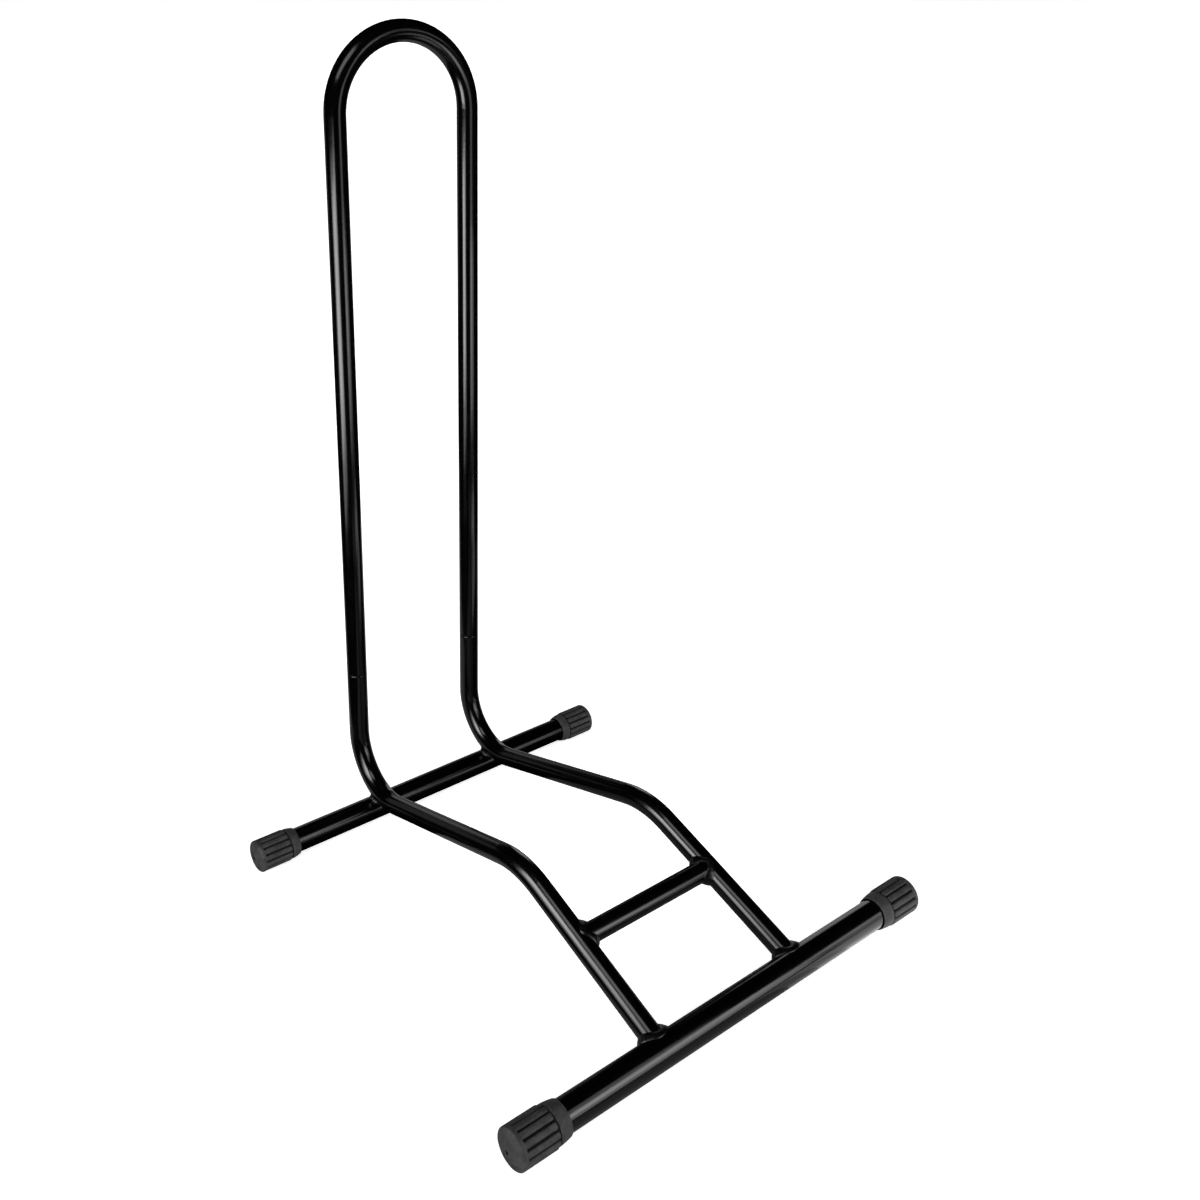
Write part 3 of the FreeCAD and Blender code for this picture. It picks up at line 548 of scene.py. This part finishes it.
def softbox(name, centre, facing, width, height, radiance, diffuse=False):
    """Rectangular lamp, seen only in glossy surfaces unless diffuse is set."""
    data = bpy.data.lights.new(name, "AREA")
    data.shape = "RECTANGLE"
    data.size, data.size_y = width, height
    data.energy = radiance * math.pi * width * height
    ob = bpy.data.objects.new(name, data)
    scene.collection.objects.link(ob)
    ob.location = centre
    d = Vector(facing).normalized()
    ob.rotation_mode = "QUATERNION"
    ob.rotation_quaternion = d.to_track_quat("-Z", "Y")
    ob.visible_camera = False
    ob.visible_diffuse = diffuse
    return ob


def wall_x(name, x, y0, y1, z0, z1, radiance):
    """Upright lamp left or right of the rack, facing it."""
    softbox(name, (x, (y0 + y1) / 2, (z0 + z1) / 2), (1 if x < 0 else -1, 0, 0), y1 - y0, z1 - z0, radiance)


def wall_y(name, y, x0, x1, z0, z1, radiance):
    """Upright lamp in front of or behind the rack, facing it."""
    softbox(name, ((x0 + x1) / 2, y, (z0 + z1) / 2), (0, 1 if y < 0 else -1, 0), x1 - x0, z1 - z0, radiance)


def card(name, x0, x1, y0, y1, radiance):
    """Lit patch of the floor as the gloss paint sees it."""
    softbox(name, ((x0 + x1) / 2, (y0 + y1) / 2, 0.0004), (0, 0.0001, 1), x1 - x0, y1 - y0, radiance)


# the paint's long highlights: planes 5 mm apart so that their light adds up
wall_x("left_wide", -0.510, -0.21, 0.265, 0.10, 0.54, 1.9)
wall_x("left_mid", -0.505, -0.15, 0.225, 0.19, 0.51, 4.2)
wall_x("left_core", -0.500, -0.03, 0.16, 0.25, 0.50, 3.3)
softbox("left_top_panel", (-0.50, -0.18, 1.15), (0.35, 0, -1), 0.44, 0.50, 2.4)
wall_y("front_low", -0.600, -0.02, 0.37, 0.03, 0.33, 2.3)
wall_y("front_low_right", -0.600, 0.40, 0.64, 0.0, 0.29, 1.3)
wall_y("front_mid", -0.605, 0.02, 0.31, 0.14, 0.66, 1.2)
wall_y("front_high_left", -2.0, 0.55, 1.10, 0.62, 1.02, 1.9)
wall_y("front_high_right", -2.0, 1.40, 1.95, 0.62, 1.02, 1.5)
wall_y("front_top", -2.0, 0.55, 1.50, 1.02, 1.40, 0.7)
wall_y("back_left", 1.55, -0.80, 0.00, 0.17, 0.67, 0.20)
wall_y("back_mid", 1.55, 0.00, 0.66, 0.17, 0.67, 0.52)
wall_y("back_low", 1.55, 0.66, 1.10, 0.17, 0.67, 0.20)
wall_y("back_right", 1.55, 1.38, 2.30, 0.0, 1.20, 1.1)
card("floor_front_left", -0.24, 0.060, -0.40, -0.222, 0.24)
card("floor_front_a", 0.060, 0.095, -0.37, -0.222, 0.60)
card("floor_front_b", 0.095, 0.130, -0.37, -0.222, 1.10)
card("floor_front_right", 0.130, 0.40, -0.37, -0.222, 1.65)
card("floor_left", -0.17, -0.055, -0.222, 0.12, 0.24)
card("floor_middle", -0.055, 0.100, -0.222, 0.12, 0.12)
card("floor_right", 0.100, 0.40, -0.200, -0.05, 0.80)
card("floor_back", -0.20, 0.60, 0.230, 1.20, 0.35)


def soft_sun(name, direction, strength, angle):
    """Very soft directional light for the rubber and the floor only."""
    data = bpy.data.lights.new(name, "SUN")
    data.energy = strength
    data.angle = math.radians(angle)
    ob = bpy.data.objects.new(name, data)
    scene.collection.objects.link(ob)
    ob.rotation_mode = "QUATERNION"
    ob.rotation_quaternion = Vector(direction).to_track_quat("-Z", "Y")
    ob.visible_glossy = False


soft_sun("soft_top", (0.3, 0.3, -1.0), 0.15, 120)
soft_sun("soft_front", (0.10, 1.0, -0.02), 3.1, 46)
soft_sun("soft_left", (1.0, 0.15, -0.12), 4.4, 50)
soft_sun("soft_right", (-1.0, 0.55, -0.05), 2.2, 50)

# -------------------------------------------------------------------- camera
cam = bpy.data.cameras.new("photo_camera")
cam.sensor_width = 36.0
cam.lens = 39.894
cam.shift_x = -0.5 / 1200
cam.shift_y = -0.1 + 0.5 / 1200
cam.clip_start, cam.clip_end = 0.02, 500
cam_ob = bpy.data.objects.new("photo_camera", cam)
scene.collection.objects.link(cam_ob)
az, el = math.radians(-40.2), math.radians(20.02)
back = Vector((math.sin(az) * math.cos(el), -math.cos(az) * math.cos(el), math.sin(el)))
right = Vector((math.cos(az), math.sin(az), 0))
up = back.cross(right)
m = Matrix((right, up, back)).transposed().to_4x4()
m.translation = Vector((-0.60008, -0.76898, 0.73608))
cam_ob.matrix_world = m
scene.camera = cam_ob

scene.view_settings.view_transform = "Standard"
scene.view_settings.look = "None"
scene.view_settings.exposure = 0.0
scene.view_settings.gamma = 1.0

bpy.context.view_layer.update()
